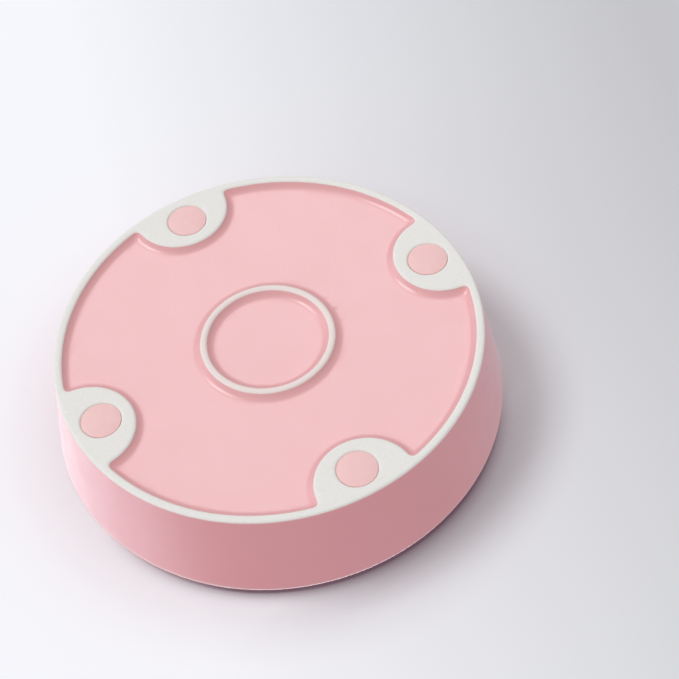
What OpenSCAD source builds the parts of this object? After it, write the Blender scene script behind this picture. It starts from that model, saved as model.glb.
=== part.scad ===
// Slow feeder bowl: a one-piece glazed stoneware bowl with rose petals standing on its floor,
// and four soft pads stuck into wells in its foot.
// The frame has +Z up, z = 0 where the pads touch the table, and the bowl's axis at x = y = 0.
// Back is +Y. Angles are in degrees, counted from +X towards +Y.

/* [Bowl] */
// Outside diameter at the rim
rim_d = 210; // [195:1:250]
// How far the foot's edge lies in from the rim's edge
foot_inset = 6.5; // [3:0.5:15]
// Height from the foot ring to the top of the rim
bowl_h = 48.3; // [42:0.1:70]
// Width of the rounded rim
rim_w = 7; // [5:0.1:9]
// Inside depth, from the rim down to the floor
inside_depth = 35; // [32:0.1:40]
// How far the edge of the inside floor lies in from the foot's edge
floor_inset = 6.5; // [4:0.1:10]
// Radius of the hollow between floor and wall
floor_round = 7; // [3:0.5:12]

/* [Foot] */
// Width of the unglazed foot ring
foot_ring_w = 3.3; // [2:0.1:5]
// Radius of the ring's outer edge
foot_round = 1.3; // [0.5:0.1:2]
// Depth of the recessed base panel
recess_depth = 3; // [1.5:0.1:4]
// Radius of the hollow at the panel's edges
recess_round = 5; // [4:0.1:7]
// Outside diameter of the ring in the middle of the base
middle_ring_d = 61.4; // [40:0.1:90]
// Width of the ring in the middle of the base
middle_ring_w = 2.4; // [1.5:0.1:5]

/* [Lobes and wells] */
// Diameter of a well
well_d = 18.5; // [14:0.1:22]
// Distance from a well's side to the foot's edge
well_edge_w = 5; // [4:0.1:8]
// Depth of a well below the foot ring
well_depth = 1.5; // [1:0.1:2.5]
// Width of the sloping edge round a well's mouth
well_lip = 0.5; // [0.2:0.1:0.8]
// Width of the flat lobe on the inner side of its well
lobe_margin = 5.6; // [3:0.1:8]
// Radius of a lobe's round edge
lobe_r = 22.2; // [18:0.1:26]
// Radius of the hollow corner between a lobe and the foot ring
lobe_corner_round = 3.5; // [1.5:0.1:6]

/* [Pads] */
// How far a pad stands out of the foot ring
pad_proud = 0.2; // [0.1:0.1:1]
// Gap round a pad in its well
pad_gap = 0.1; // [0.05:0.05:1]
// Thickness of the adhesive disc under a pad
adhesive_t = 0.2; // [0.1:0.05:0.3]
// How far the adhesive disc stays inside the pad's edge
adhesive_inset = 0.5; // [0.2:0.1:2]
// Width of the flat middle that a pad stands on
pad_land_d = 6; // [3:0.5:12]
// How far a pad's face falls from its middle to its edge
pad_fall = 0.6; // [0.2:0.1:0.8]
// Width of a pad's rounded outer edge
pad_round = 0.2; // [0.1:0.05:0.4]

/* [Tall petals] */
// Height of a tall petal's ridge above the floor
tall_petal_h = 30.5; // [20:0.5:32]
// Radius of the arc that a tall petal follows
tall_petal_r = 64.5; // [58:0.5:68]
// How far that arc's centre lies from the bowl's axis
tall_petal_offset = 5.5; // [2:0.5:9]
// Half the sweep of that arc
tall_petal_half_sweep = 46; // [40:1:50]
// Directions that the tall petals face
tall_petal_angles = [36, 133];

/* [Blunt petals] */
// Height of a blunt petal's ridge above the floor
blunt_petal_h = 28.5; // [20:0.5:32]
// Height of its ends above the floor
blunt_petal_end_h = 16; // [8:0.5:19]
// Radius of the arc that a blunt petal follows
blunt_petal_r = 74; // [60:0.5:76]
// How far that arc's centre lies from the bowl's axis
blunt_petal_offset = 2; // [0:0.5:4]
// Half the sweep of that arc
blunt_petal_half_sweep = 31; // [24:1:34]
// Directions that the blunt petals face
blunt_petal_angles = [226, 303.5];

/* [Middle petals] */
// Height of a middle petal's ridge above the floor
middle_petal_h = 23.4; // [16:0.2:28]
// Radius of the arc that a middle petal follows
middle_petal_r = 32.5; // [28:0.5:34]
// How far that arc's centre lies from the bowl's axis
middle_petal_offset = 16.5; // [13:0.5:18]
// Half the sweep of that arc
middle_petal_half_sweep = 58; // [45:1:60]
// Directions that the middle petals face
middle_petal_angles = [355.5, 82, 172, 262];
// Share of that distance for each middle petal
middle_petal_offset_shares = [1.12, 0.9, 1, 1];
// Directions in which the centres of their arcs lie
middle_petal_centre_angles = [336, 88, 175, 258];

/* [Inner petals] */
// Height of an inner petal's ridge above the floor
inner_petal_h = 18.7; // [12:0.1:22]
// Radius of the arc that an inner petal follows
inner_petal_r = 24; // [20:0.5:25]
// Half the sweep of that arc
inner_petal_half_sweep = 79; // [60:1:82]
// Directions that the inner petals face
inner_petal_angles = [81, 261];

/* [Petal walls] */
// Thickness of a petal at its rounded ridge
petal_t = 4.8; // [4:0.1:6]
// Thickness of a petal where it stands on the floor
petal_base_t = 6.6; // [5:0.1:8]

/* [Knob] */
// Height of the knob above the floor
knob_h = 14; // [8:0.5:20]
// Diameter at the knob's rounded top
knob_top_d = 12.4; // [8:0.2:16]
// Diameter where the knob stands on the floor
knob_base_d = 16; // [12:0.2:22]

/* [Hidden] */
$fn = 96;
// Points on a rounded corner of an outline
corner_steps = 6;
// Points on a petal's rounded ridge
ridge_steps = 6;
// Run past a face, so that every cut is clean
overrun = 1;

// Where the four wells lie
first_well_angle = 45;
well_count = 4;
well_angles = [for (i = [0 : well_count - 1]) first_well_angle + i * 360 / well_count];

rim_r = rim_d / 2;
base_r = rim_r - foot_inset;
floor_r = base_r - floor_inset;
foot_z = pad_proud;
rim_z = foot_z + bowl_h;
floor_z = rim_z - inside_depth;
panel_z = foot_z + recess_depth;
// Share of the bottom's thickness to which petals and knob are rooted in it
root_share = 0.25;
root_depth = root_share * (floor_z - panel_z);
ring_inner_r = base_r - foot_ring_w;
middle_ring_r = middle_ring_d / 2;
well_r = well_d / 2;
well_top_z = foot_z + well_depth;
well_circle_r = base_r - well_edge_w - well_r;
lobe_circle_r = well_circle_r - well_r - lobe_margin + lobe_r;
pad_r = well_r - pad_gap;
pad_top_z = well_top_z - adhesive_t;
adhesive_r = pad_r - adhesive_inset;
petal_bottom_z = floor_z - root_depth;
// Lowest level of the cuts into the foot
cut_z = foot_z - overrun;

// Points of an arc, from one angle to another
function arc(centre, r, from, to, steps = corner_steps) =
  [for (i = [0 : steps]) let (a = from + (to - from) * i / steps) centre + r * [cos(a), sin(a)]];

// Angle at which a line from a point touches a circle; side is 1 or -1
function touch_angle(point, centre, r, side) =
  let (d = point - centre) atan2(d.y, d.x) + side * acos(r / norm(d));

// Points that round the corner between the directions to two neighbours
function rounded(corner, before, after, r) =
  let (
    a = (before - corner) / norm(before - corner),
    b = (after - corner) / norm(after - corner),
    half = acos(a * b) / 2,
    centre = corner + (a + b) / norm(a + b) * r / sin(half),
    foot_a = corner + a * r / tan(half) - centre,
    foot_b = corner + b * r / tan(half) - centre,
    start = atan2(foot_a.y, foot_a.x),
    turn = atan2(foot_b.y, foot_b.x) - start,
    sweep = turn > 180 ? turn - 360 : turn < -180 ? turn + 360 : turn
  )
  arc(centre, r, start, start + sweep);

// The bowl as turned: foot, drafted wall, full-round rim and floor
module turned_bowl() {
  rim_half = rim_w / 2;
  rim_centre = [rim_r - rim_half, rim_z - rim_half];
  axis_foot = [0, foot_z];
  base_corner = [base_r, foot_z];
  floor_corner = [floor_r, floor_z];
  axis_floor = [0, floor_z];
  outer_touch = touch_angle(base_corner, rim_centre, rim_half, 1);
  inner_touch = touch_angle(floor_corner, rim_centre, rim_half, -1);
  rim_points = arc(rim_centre, rim_half, outer_touch, inner_touch + 360, 2 * corner_steps);
  rotate_extrude()
    polygon(concat(
      [axis_foot],
      rounded(base_corner, axis_foot, rim_points[0], foot_round),
      rim_points,
      rounded(floor_corner, rim_points[len(rim_points) - 1], axis_floor, floor_round),
      [axis_floor]
    ));
}

// Hollow at an edge of the recess, from foot level up to the panel; side is 1 outwards, -1 inwards
function hollow(edge_r, side) =
  let (
    sweep = acos(1 - recess_depth / recess_round),
    centre = [edge_r + side * recess_round * sin(sweep), panel_z - recess_round]
  )
  arc(centre, recess_round, 90 + side * sweep, 90);

// Round cut between the middle ring and the foot ring, and the round cut inside the middle ring
module base_recess() {
  middle_ring_inner_r = middle_ring_r - middle_ring_w;
  inner_hollow = hollow(middle_ring_r, 1);
  rotate_extrude()
    polygon(concat(
      [[ring_inner_r, cut_z]],
      hollow(ring_inner_r, -1),
      [for (i = [corner_steps : -1 : 0]) inner_hollow[i]],
      [[middle_ring_r, cut_z]]
    ));
  rotate_extrude()
    polygon(concat(
      [[middle_ring_inner_r, cut_z]],
      hollow(middle_ring_inner_r, -1),
      [[0, panel_z], [0, cut_z]]
    ));
}

// Plan of a lobe: a disc that runs into the foot ring with hollow corners
module lobe_plan() {
  disc_centre = [lobe_circle_r, 0];
  corner_circle_r = ring_inner_r - lobe_corner_round;
  corner_distance = lobe_r + lobe_corner_round;
  // Angle at the bowl's axis between the disc's centre and the centre of a hollow corner
  corner_angle = acos(
    (lobe_circle_r * lobe_circle_r + corner_circle_r * corner_circle_r - corner_distance * corner_distance)
    / (2 * lobe_circle_r * corner_circle_r)
  );
  outward = [cos(corner_angle), sin(corner_angle)];
  corner_centre = corner_circle_r * outward;
  beyond = base_r / cos(corner_angle) * outward;
  translate(disc_centre)
    circle(r = lobe_r);
  difference() {
    polygon([
      disc_centre, corner_centre, beyond,
      [beyond.x, -beyond.y], [corner_centre.x, -corner_centre.y]
    ]);
    for (side = [1, -1])
      translate([corner_centre.x, side * corner_centre.y])
        circle(r = lobe_corner_round);
  }
}

// The four lobes, as columns that the recess cut leaves standing
module lobes() {
  lobe_z = cut_z - overrun;
  for (a = well_angles)
    rotate([0, 0, a])
      translate([0, 0, lobe_z])
        linear_extrude(height = panel_z + overrun - lobe_z)
          lobe_plan();
}

// One well with its sloping edge, cut from below
module well_cut() {
  translate([0, 0, cut_z]) {
    cylinder(r = well_r, h = well_depth + overrun);
    cylinder(r1 = well_r + well_lip + overrun, r2 = well_r, h = well_lip + overrun);
  }
}

// One petal: a wall on an arc, whose rounded ridge lies in a tilted plane, so it rises from
// its ends to its middle. The wall hangs straight down from the ridge's middle.
module petal(facing, centre_angle, offset, r, half_sweep, ridge_h, end_h) {
  ridge_half = petal_t / 2;
  base_half = petal_base_t / 2;
  sagitta = r * (1 - cos(half_sweep));
  tilt = atan2(ridge_h - end_h, sagitta);
  half_chord = r * sin(half_sweep);
  slope = norm([sagitta, ridge_h - end_h]);
  ridge_r = (half_chord * half_chord + slope * slope) / (2 * slope);
  half_turn = 2 * atan2(slope, half_chord);
  wall_h = ridge_h - ridge_half + root_depth;
  // Directions in the turned profile that are straight down and straight out at the ridge's middle
  down = [-sin(tilt), -cos(tilt)];
  out = [cos(tilt), -sin(tilt)];
  ridge = [ridge_r, 0];
  foot = ridge + wall_h * down;
  // The wall's foot stops at the axis that the profile turns about
  inner_foot = [max(0, foot.x - base_half * out.x), foot.y - base_half * out.y];
  outer_foot = [max(0, foot.x + base_half * out.x), foot.y + base_half * out.y];
  rotate([0, 0, centre_angle])
    translate([offset, 0, 0])
      rotate([0, 0, facing - centre_angle])
        translate([r - ridge_r * cos(tilt), 0, floor_z + ridge_h - ridge_half - ridge_r * sin(tilt)])
          rotate([0, -tilt, 0])
            rotate([0, 0, -half_turn])
              rotate_extrude(angle = 2 * half_turn)
                polygon(concat(
                  arc(ridge, ridge_half, -tilt, 180 - tilt, ridge_steps),
                  [inner_foot, outer_foot]
                ));
}

// All petals, with what reaches below their roots taken off
module petals() {
  intersection() {
    union() {
      for (a = tall_petal_angles)
        petal(a, a, tall_petal_offset, tall_petal_r, tall_petal_half_sweep, tall_petal_h, 0);
      for (a = blunt_petal_angles)
        petal(a, a, blunt_petal_offset, blunt_petal_r, blunt_petal_half_sweep,
          blunt_petal_h, blunt_petal_end_h);
      for (i = [0 : len(middle_petal_angles) - 1])
        petal(middle_petal_angles[i], middle_petal_centre_angles[i],
          middle_petal_offset * middle_petal_offset_shares[i],
          middle_petal_r, middle_petal_half_sweep, middle_petal_h, 0);
      for (a = inner_petal_angles)
        petal(a, a, 0, inner_petal_r, inner_petal_half_sweep, inner_petal_h, 0);
    }
    translate([0, 0, petal_bottom_z])
      cylinder(r = floor_r, h = rim_z - petal_bottom_z);
  }
}

// The knob in the middle of the rose, with a domed top
module knob() {
  top_r = knob_top_d / 2;
  base_knob_r = knob_base_d / 2;
  shoulder_z = floor_z + knob_h - top_r;
  rotate_extrude()
    polygon(concat(
      [[0, petal_bottom_z], [base_knob_r, petal_bottom_z], [base_knob_r, floor_z]],
      arc([0, shoulder_z], top_r, 0, 90)
    ));
}

module bowl() {
  color("pink")
    difference() {
      union() {
        turned_bowl();
        petals();
        knob();
      }
      difference() {
        base_recess();
        lobes();
      }
      for (a = well_angles)
        rotate([0, 0, a])
          translate([well_circle_r, 0, 0])
            well_cut();
    }
}

// A gently domed pad with a flat middle, in the well at the given place
module pad_in_well(i) {
  land_r = pad_land_d / 2;
  edge_r = pad_r - pad_round;
  dome_w = edge_r - land_r;
  dome_r = (dome_w * dome_w + pad_fall * pad_fall) / (2 * pad_fall);
  tilt = asin(dome_w / dome_r);
  dome = arc([land_r, dome_r], dome_r, -90, tilt - 90);
  round_r = pad_round / (1 - sin(tilt));
  edge = arc([pad_r - round_r, pad_fall + round_r * cos(tilt)], round_r, tilt - 90, 0);
  rotate([0, 0, well_angles[i]])
    translate([well_circle_r, 0, 0])
      rotate_extrude()
        polygon(concat(
          [[0, 0]],
          dome,
          [for (k = [1 : corner_steps]) edge[k]],
          [[pad_r, pad_top_z], [0, pad_top_z]]
        ));
}

// The adhesive disc between that pad and the well's floor
module adhesive_in_well(i) {
  rotate([0, 0, well_angles[i]])
    translate([well_circle_r, 0, pad_top_z])
      cylinder(r = adhesive_r, h = adhesive_t);
}

module pad_back_right() { color("lightpink") pad_in_well(0); }
module pad_back_left() { color("lightpink") pad_in_well(1); }
module pad_front_left() { color("lightpink") pad_in_well(2); }
module pad_front_right() { color("lightpink") pad_in_well(3); }

module pad_adhesive_back_right() { color("ivory") adhesive_in_well(0); }
module pad_adhesive_back_left() { color("ivory") adhesive_in_well(1); }
module pad_adhesive_front_left() { color("ivory") adhesive_in_well(2); }
module pad_adhesive_front_right() { color("ivory") adhesive_in_well(3); }

bowl();
pad_back_right();
pad_back_left();
pad_front_left();
pad_front_right();
pad_adhesive_back_right();
pad_adhesive_back_left();
pad_adhesive_front_left();
pad_adhesive_front_right();
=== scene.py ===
"""A slow feeder bowl in pink glazed stoneware, seen lying upside down with its foot towards the camera.

Sizes are in millimetres, unless a comment says otherwise, and become metres when a mesh or a material is
made. Angles are in degrees.
"""

import math

import bpy
import numpy as np
import openvdb
from mathutils import Matrix, Vector


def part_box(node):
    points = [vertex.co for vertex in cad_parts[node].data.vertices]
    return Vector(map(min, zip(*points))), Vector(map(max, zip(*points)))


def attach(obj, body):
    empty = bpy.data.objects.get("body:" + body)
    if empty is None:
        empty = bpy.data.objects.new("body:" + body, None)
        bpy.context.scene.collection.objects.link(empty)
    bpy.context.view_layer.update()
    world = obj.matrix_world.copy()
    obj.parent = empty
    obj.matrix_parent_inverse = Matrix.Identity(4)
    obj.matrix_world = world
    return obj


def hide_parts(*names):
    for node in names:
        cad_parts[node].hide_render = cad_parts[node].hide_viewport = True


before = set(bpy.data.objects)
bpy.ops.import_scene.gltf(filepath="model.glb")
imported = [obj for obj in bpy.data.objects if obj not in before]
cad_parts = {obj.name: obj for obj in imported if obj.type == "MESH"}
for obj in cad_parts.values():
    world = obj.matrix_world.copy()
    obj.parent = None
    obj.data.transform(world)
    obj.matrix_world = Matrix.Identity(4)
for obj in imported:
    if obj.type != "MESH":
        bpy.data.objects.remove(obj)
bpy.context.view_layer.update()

MM = 0.001

# Heights and radius that the CAD node of the bowl gives
bowl_low, bowl_high = (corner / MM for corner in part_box("bowl"))
foot_z = bowl_low.z
rim_z = bowl_high.z
rim_r = bowl_high.x

# Bowl
foot_inset = 6.5
floor_inset = 6.5
rim_w = 7.0
inside_depth = 35.0
floor_round = 7.0
base_r = rim_r - foot_inset
floor_r = base_r - floor_inset
floor_z = rim_z - inside_depth

# Foot
foot_ring_w = 3.3
foot_round = 1.1
recess_depth = 3.0
recess_round = 4.8
recess_edge_round = 0.6
middle_ring_r = 30.7
middle_ring_w = 2.4
ring_inner_r = base_r - foot_ring_w
panel_z = foot_z + recess_depth
hollow_w = math.sqrt(2 * recess_round * recess_depth - recess_depth**2)

# Lobes and wells
well_r = 9.25
well_edge_w = 5.0
well_depth = 1.5
well_lip = 0.6
lobe_margin = 5.6
lobe_r = 22.2
lobe_corner_round = 3.5
well_circle_r = base_r - well_edge_w - well_r
lobe_circle_r = well_circle_r - well_r - lobe_margin + lobe_r
well_angles = (45.0, 135.0, 225.0, 315.0)
well_names = ("back_right", "back_left", "front_left", "front_right")

# Form that all petals share
petal_t = 4.8
petal_base_t = 6.6
petal_end_round = 2.0

# Blends at the feet of petals and knob and between petals, and how far both reach into the floor
cove = 6.0
crease = 2.5
root_share = 0.25
root_depth = root_share * (floor_z - panel_z)

# Petal forms: offset, radius, half sweep, ridge height, end height. Middle petals get their offset apart
tall_petal = (5.5, 64.5, 46.0, 30.5, 0.0)
blunt_petal = (2.0, 74.0, 31.0, 28.5, 16.0)
inner_petal = (0.0, 24.0, 79.0, 18.7, 0.0)
middle_petal = (32.5, 58.0, 23.4, 0.0)
middle_offset = 16.5

# Angles at which petals face, and for the middle ones their centre angle and share of the offset too
tall_angles = (36.0, 133.0)
blunt_angles = (226.0, 303.5)
inner_angles = (81.0, 261.0)
middle_places = ((355.5, 336.0, 1.12), (82.0, 88.0, 0.9), (172.0, 175.0, 1.0), (262.0, 258.0, 1.0))

# All petals: facing, centre angle, then their form
petals = [
    *[(a, a, *tall_petal) for a in tall_angles],
    *[(a, a, *blunt_petal) for a in blunt_angles],
    *[(a, centre, share * middle_offset, *middle_petal) for a, centre, share in middle_places],
    *[(a, a, *inner_petal) for a in inner_angles],
]

# Knob
knob_h = 14.0
knob_top_r = 6.2
knob_base_r = 8.0

# Pads in the wells, gently domed
pad_gap = 0.1
pad_land_r = 3.0
pad_fall = 0.6
pad_round = 0.2
adhesive_t = 0.2
pad_r = well_r - pad_gap
pad_top_z = foot_z + well_depth - adhesive_t

# Sampling of the bowl's surface
voxel = 0.7
band = 3 * voxel
flat_merging = 0.015
faces_tested = 200

# Points along curves
corner_steps = 24
rim_steps = 48
turn_steps = 160
land_steps = 4
dome_steps = 16
pad_edge_steps = 8
pad_back_steps = 6

# Glaze and clay colours
glaze_colour = (0.88, 0.38, 0.42, 1)
glaze_deep = (0.87, 0.365, 0.405, 1)
# Paler copy of the glaze: painted light on the lit panel
painted_lit_glaze = (0.855, 0.473, 0.48, 1)
# Pale glaze: thin glaze on outer edges and the middle ring, and on outer edges also a painted highlight
glaze_thin = (0.95, 0.81, 0.79, 1)
# Deeper glaze in inner bends: pooled glaze and painted shade
pooled_and_shaded_glaze = (0.82, 0.3, 0.32, 1)
clay_colour = (0.93, 0.925, 0.9, 1)
clay_dark = (0.89, 0.88, 0.85, 1)
clay_speck = (0.7, 0.64, 0.55, 1)

# Where the glaze was wiped off: height above the foot, and round each well
bare_h = 0.7
wipe_waver = 0.12
wipe_blur = 0.05
well_bare_w = 1.0
well_bare_blend = 0.5

# Noises: size of their patches and detail
wipe_noise = (6.0, 3)
broad_noise = (35.0, 2)
fine_noise = (1.6, 3)
clay_noise = (0.9, 4)
speck_noise = (0.6, 1)
gloss_noise = (10.0, 3)
grain_noise = (0.5, 3)
ripple_noise = (12.0, 2)

# Ranges of a noise that fade a colour or a gloss in
patch_range = (0.3, 0.7)
fine_range = (0.45, 0.75)
clay_range = (0.35, 0.7)
speck_range = (0.7, 0.76)
fine_share = 0.12
speck_share = 0.35

# Glaze by the bend of the surface: two bends, and the shares of that glaze there
# Paler outer edges: thin glaze and a painted highlight
thin_glaze_and_highlight_by_bend = (0.22, 0.6, 0, 0.85)
# Deeper inner bends: pooled glaze and painted shade
pooled_glaze_and_shade_by_bend = (-0.08, -0.5, 0, 0.25)
# Keeps the deeper glaze in the panel's hollows, as painted shade
panel_hollow_shade_by_bend = (-0.05, -0.2, 1, 0.8)

# Paler glaze painted on the panel as painted light, by height above it, and tinted clay by the middle ring,
# by distance past it
base_fade = (1.0, 4.0)
tint_fade = (3.0, 5.0)
tint_share = 0.7

# Gloss and fine relief of glaze and clay
glaze_rough = (0.34, 0.42)
clay_rough = 0.88
glaze_ior = 1.5
coat_weight = 0.5
coat_rough = 0.17
grain_h = 0.06
grain_strength = 0.5
ripple_h = 0.3
ripple_strength = 0.3

# Pads: colours, noises, gloss and softness
pad_colour = (0.96, 0.63, 0.62, 1)
pad_deep = (0.95, 0.6, 0.6, 1)
pad_noises = ((4.0, 3), (1.5, 2), (0.4, 2))
pad_rough = (0.5, 0.62)
pad_skin_strength = 0.4
pad_soft_weight = 0.1
pad_soft_radii = (2.0, 1.0, 0.8)

# Adhesive films: colours, noises and gloss
film_deep = (0.7, 0.64, 0.5, 1)
film_colour = (0.8, 0.75, 0.62, 1)
film_noises = ((2.0, 3), (1.0, 2), (0.8, 2))
film_rough = (0.4, 0.6)
film_skin_strength = 0.5
skin_h = 0.03

# Camera, in metres
camera_place = Vector((0.49958, -0.25444, -0.71291))
camera_aim = Vector((-0.00569, -0.03258, 0.0002))
camera_near = 0.01
camera_far = 100
camera_roll = 9.37

# Camera's lens, in millimetres
camera_lens = 105.87
camera_sensor = 36.0

# Lamps: name, azimuth, elevation, strength, angle across, and whether the glaze reflects them
lamps = (
    ("key_foot", 88, -57, 1.0, 22, True),
    ("fill_side", 28, -12, 0.34, 40, False),
    ("key_inside", 153, 55, 1.2, 20, False),
)

# World light, and the plain backdrop that the camera sees
ambient = 0.57
ambient_lean = (0.0, -0.03, 0.0)
light_colour = (1, 0.99, 0.98, 1)
backdrop_colour = (0.9, 0.9, 0.92, 1)

# Soft boxes for the glaze to reflect: azimuth, elevation, brightness, and cosines of their edge and core
gloss_level = 0.55
gloss_colour = (0.96, 0.98, 1.05, 1)
soft_boxes = (
    (153, -52, 3.2, 0.9, 0.98),
    (90, -22, 1.3, 0.86, 0.97),
    (85, 42, 1.05, 0.65, 0.97),
    (153, 80, 2.0, 0.95, 0.99),
)

# Gap that keeps a floor off the pads or the rim
floor_gap = 0.05

# Floors, with lengths in metres. A floor is painted darker away from the key lamp, as painted shade, and the
# floor at the rim glows a little by its lift
floor_size = 12.0
floor_colour = (0.865, 0.885, 0.93, 1)
floor_painted_shade = (0.44, 0.44, 0.465, 1)
floor_dim_way = (240, 0)
floor_dim_range = (-0.06, 0.24)
rim_floor_shade = 0.78
rim_floor_lift = 0.2

# Broad painted shadow on the floors near the bowl, with lengths in metres
painted_shadow_colour = (0.2, 0.14, 0.19, 1)
contact_way = (300, 0)
contact_range = (0.08, 0.108)
contact_shade = 0.8
contact_reach = 0.042
contact_samples = 16

# Narrow painted contact shadow where the bowl meets a floor, with lengths in metres
seam_way = (320, 0)
seam_range = (0.03, 0.09)
seam_shade = 0.9
seam_reach = 0.009
seam_samples = 8

# Openness at which a shade starts and is full, and how steeply it and the lift grow
open_range = (1, 0.5)
open_power = 2


def smooth_min(a, b, k):
    """The lower of two fields, blended over k."""
    h = np.maximum(k - np.abs(a - b), 0) / k
    return np.minimum(a, b) - h * h * k / 4


def smooth_max(a, b, k):
    """The higher of two fields, blended over k."""
    return -smooth_min(-a, -b, k)


def arc(centre, r, start, end, steps=corner_steps):
    """Points of an arc, from one angle to another."""
    angles = np.radians(np.linspace(start, end, steps))
    return np.stack([centre[0] + r * np.cos(angles), centre[1] + r * np.sin(angles)], 1)


def polygon_distance(points, x, y):
    """Signed distance to a closed outline, negative inside."""
    best = np.full(x.shape, np.inf)
    inside = np.zeros(x.shape, bool)
    for (ax, ay), (bx, by) in zip(points, np.roll(points, -1, axis=0), strict=True):
        ex, ey = bx - ax, by - ay
        t = np.clip(((x - ax) * ex + (y - ay) * ey) / (ex * ex + ey * ey), 0, 1)
        best = np.minimum(best, np.hypot(x - ax - t * ex, y - ay - t * ey))
        if ay != by:
            crosses = (ay > y) != (by > y)
            inside ^= crosses & (x < (bx - ax) * (y - ay) / (by - ay) + ax)
    return np.where(inside, -best, best)


def touch_angle(point, centre, r, side):
    """Angle at which a line from a point touches a circle."""
    dx, dy = point[0] - centre[0], point[1] - centre[1]
    return math.degrees(math.atan2(dy, dx) + side * math.acos(r / math.hypot(dx, dy)))


def rounded(corner, before, after, r):
    """Points that round the corner between the directions to two neighbours."""
    corner, before, after = (np.array(p, float) for p in (corner, before, after))
    a = (before - corner) / np.linalg.norm(before - corner)
    b = (after - corner) / np.linalg.norm(after - corner)
    half = math.acos(float(a @ b)) / 2
    centre = corner + (a + b) / np.linalg.norm(a + b) * r / math.sin(half)
    ends = [corner + d * r / math.tan(half) - centre for d in (a, b)]
    start, end = (math.degrees(math.atan2(e[1], e[0])) for e in ends)
    turn = (end - start + 180) % 360 - 180
    return arc(centre, r, start, start + turn)


def turned_outline():
    """Half section of the bowl as turned: foot, drafted wall, round rim and floor."""
    half = rim_w / 2
    rim_centre = (rim_r - half, rim_z - half)
    base_corner = (base_r, foot_z)
    floor_corner = (floor_r, floor_z)
    outer = touch_angle(base_corner, rim_centre, half, 1)
    inner = touch_angle(floor_corner, rim_centre, half, -1)
    rim = arc(rim_centre, half, outer, inner + 360, rim_steps)
    return np.concatenate([
        [(-rim_r, foot_z)],
        rounded(base_corner, (0, foot_z), rim[0], foot_round),
        rim,
        rounded(floor_corner, rim[-1], (0, floor_z), floor_round),
        [(-rim_r, floor_z)],
    ])


def turned_field(radius, z):
    """Field of a turned outline, sampled once in section and read back for every radius."""
    r = np.arange(0, rim_r + 2 * band, voxel / 2)
    section_r, section_z = np.meshgrid(r, z, indexing="ij")
    section = polygon_distance(turned_outline(), section_r, section_z)
    layers = [np.interp(radius, r, section[:, k]) for k in range(len(z))]
    return np.stack(layers, 2)


def land_distance(x, y):
    """Distance in plan from the foot ring, the lobes and the middle ring, negative on them."""
    radius = np.hypot(x, y)
    land = ring_inner_r - radius
    for angle in np.radians(well_angles):
        lobe = np.hypot(x - lobe_circle_r * math.cos(angle), y - lobe_circle_r * math.sin(angle)) - lobe_r
        land = smooth_min(land, lobe, lobe_corner_round)
    middle = np.abs(radius - middle_ring_r + middle_ring_w / 2) - middle_ring_w / 2
    return np.minimum(land, middle)


def petal_field(x, y, z, facing, centre_angle, offset, r, half_sweep, ridge_h, end_h):
    """Field of one petal: a wall on an arc, with a rounded ridge that rises to its middle."""
    half_t, half_base = petal_t / 2, petal_base_t / 2
    sweep = math.radians(half_sweep)
    sagitta = r * (1 - math.cos(sweep))
    rise = ridge_h - end_h
    tilt = math.atan2(rise, sagitta)
    half_chord = r * math.sin(sweep)
    slope = math.hypot(sagitta, rise)
    ridge_r = (half_chord**2 + slope**2) / (2 * slope)
    half_turn = 2 * math.atan2(slope, half_chord)
    wall_h = ridge_h - half_t + root_depth
    c, s = math.cos(math.radians(centre_angle)), math.sin(math.radians(centre_angle))
    x, y = x - offset * c, y - offset * s
    c, s = math.cos(math.radians(facing)), math.sin(math.radians(facing))
    u = x * c + y * s - (r - ridge_r * math.cos(tilt))
    v = -x * s + y * c
    w = z - (floor_z + ridge_h - half_t - ridge_r * math.sin(tilt))
    along = u * math.cos(tilt) + w * math.sin(tilt)
    above = -u * math.sin(tilt) + w * math.cos(tilt)
    out_r = np.hypot(along, v)
    q = out_r - ridge_r
    down = -q * math.sin(tilt) - above * math.cos(tilt)
    side = q * math.cos(tilt) - above * math.sin(tilt)
    width = half_t + (half_base - half_t) * np.clip(down / wall_h, 0, 1)
    field = np.where(down > 0, np.abs(side) - width, np.hypot(down, side) - half_t)
    past_end = out_r * np.sin(np.abs(np.arctan2(v, along)) - half_turn)
    field = smooth_max(field, past_end, 2 * petal_end_round)
    return np.maximum(field, floor_z - root_depth - z)


def knob_field(radius, z):
    """Field of the knob: a cone with a domed top."""
    top = floor_z + knob_h - knob_top_r
    width = knob_top_r + (knob_base_r - knob_top_r) * np.clip((top - z) / (top - floor_z), 0, 1)
    field = np.where(z > top, np.hypot(radius, z - top) - knob_top_r, radius - width)
    return np.maximum(field, floor_z - root_depth - z)


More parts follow.
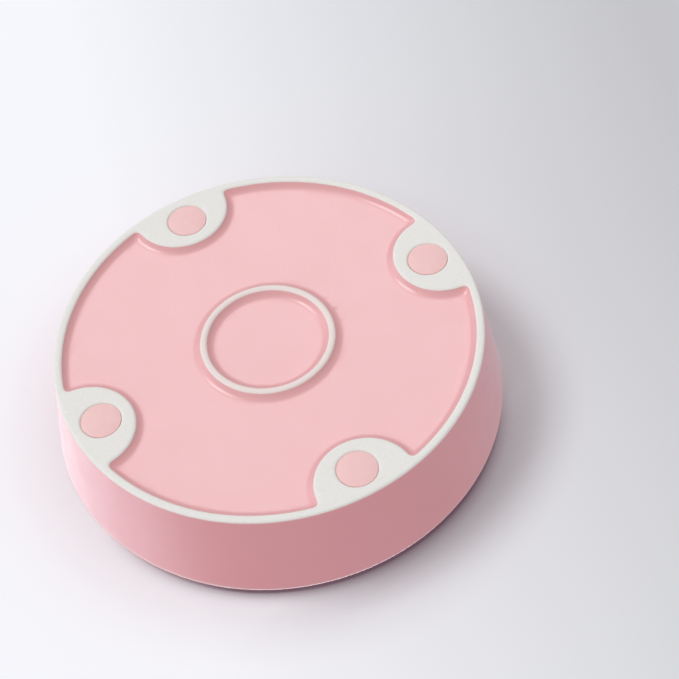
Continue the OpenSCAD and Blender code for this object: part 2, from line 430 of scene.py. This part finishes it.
def bowl_field():
    """The bowl's field on a grid, with the grid's lowest corner."""
    low = np.array([-rim_r - band - voxel, -rim_r - band - voxel, foot_z - band - voxel])
    high = np.array([rim_r + band + voxel, rim_r + band + voxel, rim_z + band + voxel])
    ax, ay, az = (np.arange(a, b, voxel) for a, b in zip(low, high, strict=True))
    plan_x, plan_y = np.meshgrid(ax, ay, indexing="ij")
    radius = np.hypot(plan_x, plan_y)
    field = turned_field(radius, az).astype(np.float32)
    z = az[None, None, :].astype(np.float32)

    # Petals and knob, which run into the floor in hollows
    inner = radius < floor_r
    x, y = (p[inner][:, None].astype(np.float32) for p in (plan_x, plan_y))
    upper = az > floor_z - root_depth - cove
    ledge = az[upper][None, :].astype(np.float32)
    far_off = 10 * cove
    rose = np.full((x.shape[0], ledge.shape[1]), far_off, np.float32)
    for petal in petals:
        rose = smooth_min(rose, petal_field(x, y, ledge, *petal), crease)
    rose = smooth_min(rose, knob_field(np.hypot(x, y), ledge), crease)
    sub = field[inner]
    sub[:, upper] = smooth_min(sub[:, upper], rose, cove)
    field[inner] = sub

    # Recess and wells, cut into the foot
    lower = az < panel_z + band + recess_edge_round
    foot = field[:, :, lower]
    depth_z = z[:, :, lower]
    land = land_distance(plan_x, plan_y)[:, :, None].astype(np.float32)
    past_hollow = np.minimum(land - hollow_w, 0)
    past_corner = np.maximum(depth_z - panel_z + recess_round, 0)
    cut = np.hypot(past_hollow, past_corner) - recess_round
    foot = smooth_max(foot, -cut, recess_edge_round)
    for angle in np.radians(well_angles):
        across = np.hypot(plan_x - well_circle_r * math.cos(angle), plan_y - well_circle_r * math.sin(angle))
        well = np.maximum(across[:, :, None] - well_r, depth_z - foot_z - well_depth)
        foot = smooth_max(foot, -well, 2 * well_lip)
    field[:, :, lower] = foot
    return field, low


def sample(grid, places):
    """Values of a grid between its points, at places in grid steps."""
    base = np.clip(np.floor(places).astype(int), 0, np.array(grid.shape) - 2)
    part = places - base
    total = np.zeros(len(places), np.float32)
    for corner in np.ndindex(2, 2, 2):
        weight = np.prod(np.where(corner, part, 1 - part), axis=1)
        i, j, k = (base + corner).T
        total += weight * grid[i, j, k]
    return total


def mesh_object(name, points, faces):
    """A mesh object with smooth faces, from points in metres."""
    mesh = bpy.data.meshes.new(name)
    mesh.from_pydata(points.tolist(), [], faces)
    mesh.polygons.foreach_set("use_smooth", [True] * len(mesh.polygons))
    mesh.update()
    piece = bpy.data.objects.new(name, mesh)
    bpy.context.scene.collection.objects.link(piece)
    return piece


def build_bowl():
    """The cast and glazed bowl. Its attribute "edge" holds how the surface bends, above 0 on outer edges."""
    field, low = bowl_field()
    grid = openvdb.FloatGrid(band)
    grid.copyFromArray(np.clip(field, -band, band), tolerance=0.0)
    places, triangles, quads = grid.convertToPolygons(isovalue=0.0, adaptivity=flat_merging)
    faces = triangles.tolist() + quads.tolist()
    piece = mesh_object("stoneware_bowl", (places * voxel + low) * MM, faces)
    gradient = np.gradient(field, voxel)
    normals = np.stack([sample(g, places) for g in gradient], 1)
    normals /= np.linalg.norm(normals, axis=1, keepdims=True)
    mesh = piece.data
    tested = list(mesh.polygons)[:faces_tested]
    if sum(p.normal.dot(Vector(normals[p.vertices[0]])) for p in tested) < 0:
        mesh.flip_normals()
    mesh.normals_split_custom_set_from_vertices(normals.tolist())
    bend = sum(np.gradient(g, voxel, axis=k) for k, g in enumerate(gradient))
    edge = mesh.attributes.new("edge", "FLOAT", "POINT")
    edge.data.foreach_set("value", np.clip(sample(bend, places), -1, 1).astype(np.float32))
    return piece


def pad_profile():
    """Half section of a pad: flat middle, gentle dome, rounded edge, side and back."""
    edge_r = pad_r - pad_round
    dome_w = edge_r - pad_land_r
    dome_r = (dome_w**2 + pad_fall**2) / (2 * pad_fall)
    tilt = math.asin(dome_w / dome_r)
    round_r = pad_round / (1 - math.sin(tilt))
    round_centre = (pad_r - round_r, pad_fall + round_r * math.cos(tilt))
    middle = [(r, 0.0) for r in np.linspace(0, pad_land_r, land_steps)[1:-1]]
    dome = arc((pad_land_r, dome_r), dome_r, -90, math.degrees(tilt) - 90, dome_steps)
    edge = arc(round_centre, round_r, math.degrees(tilt) - 90, 0, pad_edge_steps)[1:]
    back = arc((edge_r, pad_top_z - pad_round), pad_round, 0, 90, pad_back_steps)
    return np.concatenate([middle, dome, edge, back])


def build_pad(name, angle):
    """A pad turned from its half section, in the well at that angle."""
    profile = pad_profile()
    turns = np.linspace(0, 2 * math.pi, turn_steps, endpoint=False)
    rings = np.stack([
        np.outer(profile[:, 0], np.cos(turns)),
        np.outer(profile[:, 0], np.sin(turns)),
        np.repeat(profile[:, 1:], turn_steps, axis=1),
    ], 2).reshape(-1, 3)
    centres = np.array([[0, 0, 0], [0, 0, pad_top_z]])
    points = np.concatenate([rings, centres])
    place = math.radians(angle)
    points += (well_circle_r * math.cos(place), well_circle_r * math.sin(place), 0)
    first, last = len(rings), len(rings) + 1
    end = (len(profile) - 1) * turn_steps
    faces = []
    for i in range(turn_steps):
        j = (i + 1) % turn_steps
        faces.append((first, j, i))
        faces.append((last, end + i, end + j))
        for k in range(0, end, turn_steps):
            faces.append((k + i, k + j, k + turn_steps + j, k + turn_steps + i))
    return mesh_object(name, points * MM, faces)


def direction(azimuth, elevation):
    """Unit vector towards a place on the sky. Azimuth is counted from +X towards +Y."""
    a, e = math.radians(azimuth), math.radians(elevation)
    return Vector((math.cos(a) * math.cos(e), math.sin(a) * math.cos(e), math.sin(e)))


class Nodes:
    """The node tree of a material or the world, with short ways to add and join nodes."""

    def __init__(self, owner):
        owner.use_nodes = True
        self.owner = owner
        self.tree = owner.node_tree
        self.shader = self.tree.nodes.get("Principled BSDF")

    def add(self, kind, inputs=None, **settings):
        """A new node with those settings. An input is a number, a colour or another node's socket."""
        node = self.tree.nodes.new(kind)
        for key, value in settings.items():
            setattr(node, key, value)
        for key, value in (inputs or {}).items():
            self.set(node, key, value)
        return node

    def set(self, node, key, value):
        """Gives a node's input a value or joins it to a socket."""
        if isinstance(value, bpy.types.NodeSocket):
            self.tree.links.new(value, node.inputs[key])
        else:
            node.inputs[key].default_value = value

    def math(self, operation, a, b):
        """The result of an operation on two values."""
        return self.add("ShaderNodeMath", {0: a, 1: b}, operation=operation).outputs[0]

    def ramp(self, value, low, high, start=0.0, end=1.0, **settings):
        """A value moved from one range to another, kept inside it."""
        places = {"Value": value, "From Min": low, "From Max": high, "To Min": start, "To Max": end}
        return self.add("ShaderNodeMapRange", places, **settings).outputs["Result"]

    def mix(self, factor, a, b):
        """A colour between two others."""
        node = self.add("ShaderNodeMix", data_type="RGBA")
        places = {socket.identifier: k for k, socket in enumerate(node.inputs)}
        for identifier, value in (("Factor_Float", factor), ("A_Color", a), ("B_Color", b)):
            self.set(node, places[identifier], value)
        return next(x for x in node.outputs if x.identifier == "Result_Color")

    def mix_shader(self, factor, a, b):
        """The first shader where the factor is 0, and the second where it is 1."""
        return self.add("ShaderNodeMixShader", {0: factor, 1: a, 2: b}).outputs[0]

    def noise(self, size, detail):
        """Noise whose patches are about that many millimetres across."""
        places = {"Vector": self.place(), "Scale": 1 / (size * MM), "Detail": detail}
        return self.add("ShaderNodeTexNoise", places).outputs["Fac"]

    def place(self):
        """The place on the object in metres."""
        return self.add("ShaderNodeTexCoord").outputs["Object"]

    def vector(self, operation, a, b=(0, 0, 0), output="Vector"):
        """The result of an operation on two vectors."""
        return self.add("ShaderNodeVectorMath", {0: a, 1: b}, operation=operation).outputs[output]

    def along(self, way):
        """How far a place lies towards an azimuth and elevation, in metres."""
        return self.vector("DOT_PRODUCT", self.place(), direction(*way), "Value")

    def flat_length(self, vector):
        """The length of a vector in plan."""
        flat = self.vector("MULTIPLY", vector, (1, 1, 0))
        return self.vector("LENGTH", flat, output="Value")

    def openness(self, reach, samples):
        """How open a place is, from 1 down to 0 where what lies within reach encloses it."""
        return self.add("ShaderNodeAmbientOcclusion", {"Distance": reach}, samples=samples).outputs["AO"]

    def bump(self, height, distance, strength, normal=None):
        """A shading normal from a height, whose full range is that many millimetres."""
        places = {"Height": height, "Distance": distance * MM, "Strength": strength}
        if normal is not None:
            places["Normal"] = normal
        return self.add("ShaderNodeBump", places).outputs["Normal"]


def stoneware_material():
    """Pink satin glaze, with the bare pale clay where it was wiped off the foot."""
    n = Nodes(bpy.data.materials.new("glazed_stoneware"))
    height = n.add("ShaderNodeSeparateXYZ", {"Vector": n.place()}).outputs["Z"]
    radius = n.flat_length(n.place())
    edge = n.add("ShaderNodeAttribute", attribute_name="edge").outputs["Fac"]

    # Glazed is 1 above the wiped height, which wavers and is higher inside the wells
    wipe = n.ramp(n.noise(*wipe_noise), 0, 1, -wipe_waver * MM, wipe_waver * MM)
    well_place = well_circle_r * math.cos(math.radians(well_angles[0])) * MM
    quarter = n.vector("ABSOLUTE", n.place())
    from_well = n.flat_length(n.vector("SUBTRACT", quarter, (well_place, well_place, 0)))
    well_bare_r = well_r + well_bare_w
    in_well = n.ramp(from_well, well_bare_r * MM, (well_bare_r + well_bare_blend) * MM, 1, 0)
    bare_top = n.math("ADD", wipe, (foot_z + bare_h) * MM)
    bare_top = n.math("ADD", bare_top, n.math("MULTIPLY", in_well, well_depth * MM))
    glazed = n.ramp(n.math("SUBTRACT", height, bare_top), -wipe_blur * MM, wipe_blur * MM)
    bare = n.math("SUBTRACT", 1, glazed)

    # Glaze colour: painted light on the panel with painted shade in its hollows, thin glaze and a painted
    # highlight on outer edges, pooled glaze and painted shade in inner ones
    glaze = n.mix(n.ramp(n.noise(*broad_noise), *patch_range), glaze_deep, glaze_colour)
    under = n.ramp(radius, ring_inner_r * MM, base_r * MM, 1, 0)
    on_panel = n.ramp(height, *((panel_z + h) * MM for h in base_fade), 1, 0)
    # Painted light on the panel, held back in its hollows as painted shade
    base = n.math("MULTIPLY", n.math("MULTIPLY", under, on_panel), n.ramp(edge, *panel_hollow_shade_by_bend))
    glaze = n.mix(base, glaze, painted_lit_glaze)
    glaze = n.mix(n.ramp(n.noise(*fine_noise), *fine_range, 0, fine_share), glaze, glaze_deep)
    # Thin glaze and a painted highlight on outer edges
    glaze = n.mix(n.ramp(edge, *thin_glaze_and_highlight_by_bend), glaze, glaze_thin)
    # Pooled glaze and painted shade in inner bends
    glaze = n.mix(n.ramp(edge, *pooled_glaze_and_shade_by_bend), glaze, pooled_and_shaded_glaze)

    # Clay colour: mottled and specked, with a tint of glaze left on the middle ring
    clay = n.mix(n.ramp(n.noise(*clay_noise), *clay_range), clay_dark, clay_colour)
    clay = n.mix(n.ramp(n.noise(*speck_noise), *speck_range, 0, speck_share), clay, clay_speck)
    tint = n.ramp(radius, *((middle_ring_r + w) * MM for w in tint_fade), tint_share, 0)
    clay = n.mix(tint, clay, glaze_thin)
    n.set(n.shader, "Base Color", n.mix(glazed, clay, glaze))

    rough = n.math("MULTIPLY", glazed, n.ramp(n.noise(*gloss_noise), *patch_range, *glaze_rough))
    rough = n.math("ADD", rough, n.math("MULTIPLY", bare, clay_rough))
    n.set(n.shader, "Roughness", rough)
    n.set(n.shader, "IOR", glaze_ior)
    n.set(n.shader, "Coat Weight", n.math("MULTIPLY", glazed, coat_weight))
    n.set(n.shader, "Coat Roughness", coat_rough)
    grain = n.math("MULTIPLY", n.noise(*grain_noise), bare)
    ripple = n.math("MULTIPLY", n.noise(*ripple_noise), glazed)
    normal = n.bump(grain, grain_h, grain_strength)
    n.set(n.shader, "Normal", n.bump(ripple, ripple_h, ripple_strength, normal))
    return n.owner


def soft_nodes(name, deep, colour, noises, rough, skin_strength):
    """Nodes of a plain soft material. The noises vary its tone, its gloss and its skin."""
    n = Nodes(bpy.data.materials.new(name))
    tone_noise, rough_noise, skin_noise = noises
    n.set(n.shader, "Base Color", n.mix(n.ramp(n.noise(*tone_noise), *patch_range), deep, colour))
    n.set(n.shader, "Roughness", n.ramp(n.noise(*rough_noise), *patch_range, *rough))
    n.set(n.shader, "Normal", n.bump(n.noise(*skin_noise), skin_h, skin_strength))
    return n


def pad_material():
    """Soft silicone with a fine matt skin."""
    n = soft_nodes("soft_pad", pad_deep, pad_colour, pad_noises, pad_rough, pad_skin_strength)
    n.set(n.shader, "Subsurface Weight", pad_soft_weight)
    n.set(n.shader, "Subsurface Radius", [r * MM for r in pad_soft_radii])
    return n.owner


def adhesive_material():
    """A thin cream film of glue."""
    return soft_nodes("adhesive", film_deep, film_colour, film_noises, film_rough, film_skin_strength).owner


def floor_material(name, shade, lift):
    """Plain pale floor that shows only from its own side.

    It is painted darker by that shade away from the key lamp, as painted shade, and glows by that lift where
    it
    lies open, so the glow is painted dimmer near the bowl. Near the bowl a painted shadow darkens it on one
    side:
    broadly, and in a narrow seam where the bowl meets it.
    """
    n = Nodes(bpy.data.materials.new(name))
    n.tree.nodes.remove(n.shader)
    dim = n.ramp(n.along(floor_dim_way), *floor_dim_range, 0, shade)
    # Painted shade: darker away from the key lamp
    colour = n.mix(dim, floor_colour, floor_painted_shade)
    near = n.openness(contact_reach, contact_samples)
    touch = n.openness(seam_reach, seam_samples)
    # Painted shadow near the bowl: broad, and narrow where the bowl meets the floor
    for openness, way, way_range, share in (
        (near, contact_way, contact_range, contact_shade),
        (touch, seam_way, seam_range, seam_shade),
    ):
        closed = n.math("POWER", n.ramp(openness, *open_range), open_power)
        side = n.ramp(n.along(way), *way_range, 0, share)
        colour = n.mix(n.math("MULTIPLY", closed, side), colour, painted_shadow_colour)
    diffuse = n.add("ShaderNodeBsdfDiffuse", {"Color": colour}).outputs[0]
    # The glow is painted dimmer near the bowl, as painted shade
    strength = n.math("MULTIPLY", n.math("POWER", near, open_power), lift)
    glow = n.add("ShaderNodeEmission", {"Color": colour, "Strength": strength}).outputs[0]
    both = n.add("ShaderNodeAddShader", {0: diffuse, 1: glow}).outputs[0]
    clear = n.add("ShaderNodeBsdfTransparent").outputs[0]
    back = n.add("ShaderNodeNewGeometry").outputs["Backfacing"]
    n.set(n.tree.nodes["Material Output"], "Surface", n.mix_shader(back, both, clear))
    return n.owner


def floor_plane(name, z, faces_up, material):
    """A wide floor for the camera alone, facing up or down."""
    half = floor_size / 2
    corners = np.array([(-half, -half, z), (half, -half, z), (half, half, z), (-half, half, z)])
    plane = mesh_object(name, corners, [(0, 1, 2, 3) if faces_up else (3, 2, 1, 0)])
    plane.data.materials.append(material)
    plane.visible_diffuse = False
    plane.visible_glossy = False
    plane.visible_shadow = False


def add_lamp(name, azimuth, elevation, strength, angle, reflected):
    """A far soft lamp."""
    data = bpy.data.lights.new(name, "SUN")
    data.energy = strength
    data.angle = math.radians(angle)
    lamp = bpy.data.objects.new(name, data)
    lamp.rotation_mode = "QUATERNION"
    lamp.rotation_quaternion = direction(azimuth, elevation).to_track_quat("Z", "Y")
    lamp.visible_glossy = reflected
    bpy.context.scene.collection.objects.link(lamp)


def place_camera():
    """The photograph's camera, below the foot and turned a little about its own axis."""
    forward = (camera_aim - camera_place).normalized()
    down = Vector((0, 0, -1))
    flat = (down - down.dot(forward) * forward).normalized()
    roll = math.radians(camera_roll)
    up = math.cos(roll) * flat + math.sin(roll) * forward.cross(flat)
    right = forward.cross(up)
    camera = bpy.data.objects.new("camera", bpy.data.cameras.new("camera"))
    axes = Matrix((right, up, -forward)).transposed().to_4x4()
    camera.matrix_world = Matrix.Translation(camera_place) @ axes
    camera.data.lens = camera_lens
    camera.data.sensor_width = camera_sensor
    camera.data.clip_start = camera_near
    camera.data.clip_end = camera_far
    bpy.context.scene.collection.objects.link(camera)
    bpy.context.scene.camera = camera


def light_world():
    """Nearly even pale light. Glossy rays see soft boxes instead, and camera rays see a plain backdrop."""
    n = Nodes(bpy.data.worlds.new("studio"))
    way = n.add("ShaderNodeTexCoord").outputs["Generated"]
    light = n.tree.nodes["Background"]
    n.set(light, "Color", light_colour)
    n.set(light, "Strength", n.math("ADD", ambient, n.vector("DOT_PRODUCT", way, ambient_lean, "Value")))

    strength = gloss_level
    for azimuth, elevation, brightness, spread, core in soft_boxes:
        towards = n.vector("DOT_PRODUCT", way, direction(azimuth, elevation), "Value")
        box = n.ramp(towards, spread, core, 0, brightness, interpolation_type="SMOOTHSTEP")
        strength = n.math("ADD", strength, box)
    gloss = n.add("ShaderNodeBackground", {"Color": gloss_colour, "Strength": strength}).outputs[0]
    seen = n.add("ShaderNodeBackground", {"Color": backdrop_colour}).outputs[0]

    path = n.add("ShaderNodeLightPath").outputs
    pale = n.math("MAXIMUM", path["Is Camera Ray"], path["Is Transmission Ray"])
    unseen = n.mix_shader(path["Is Glossy Ray"], light.outputs[0], gloss)
    n.set(n.tree.nodes["World Output"], "Surface", n.mix_shader(pale, unseen, seen))
    bpy.context.scene.world = n.owner


def dress(piece, material, slot_name, *nodes):
    """Gives a piece its material and its body, and hides the CAD nodes that it stands for."""
    piece.data.materials.append(material)
    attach(piece, "root")
    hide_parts(*nodes)


# Pieces. The adhesive films are the CAD's own nodes, given a material
stoneware = build_bowl()
dress(stoneware, stoneware_material(), "glazed_stoneware", "bowl")
silicone = pad_material()
film = adhesive_material()
for well_name, well_angle in zip(well_names, well_angles, strict=True):
    pad = build_pad("silicone_pad_" + well_name, well_angle)
    dress(pad, silicone, "soft_pad", "pad_" + well_name)
    film_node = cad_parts["pad_adhesive_" + well_name]
    film_node.data.materials.clear()
    film_node.data.materials.append(film)

# Floors: one under the pads, and one at the rim, on which the bowl lies upside down in the photograph
floor_plane("floor", -floor_gap * MM, True, floor_material("floor", shade=0, lift=0))
rim_floor = floor_material("floor_for_rim", rim_floor_shade, rim_floor_lift)
floor_plane("floor_for_rim", (rim_z + floor_gap) * MM, False, rim_floor)

# Light and camera
for lamp_row in lamps:
    add_lamp(*lamp_row)
light_world()
place_camera()

bpy.context.scene.view_settings.view_transform = "Standard"
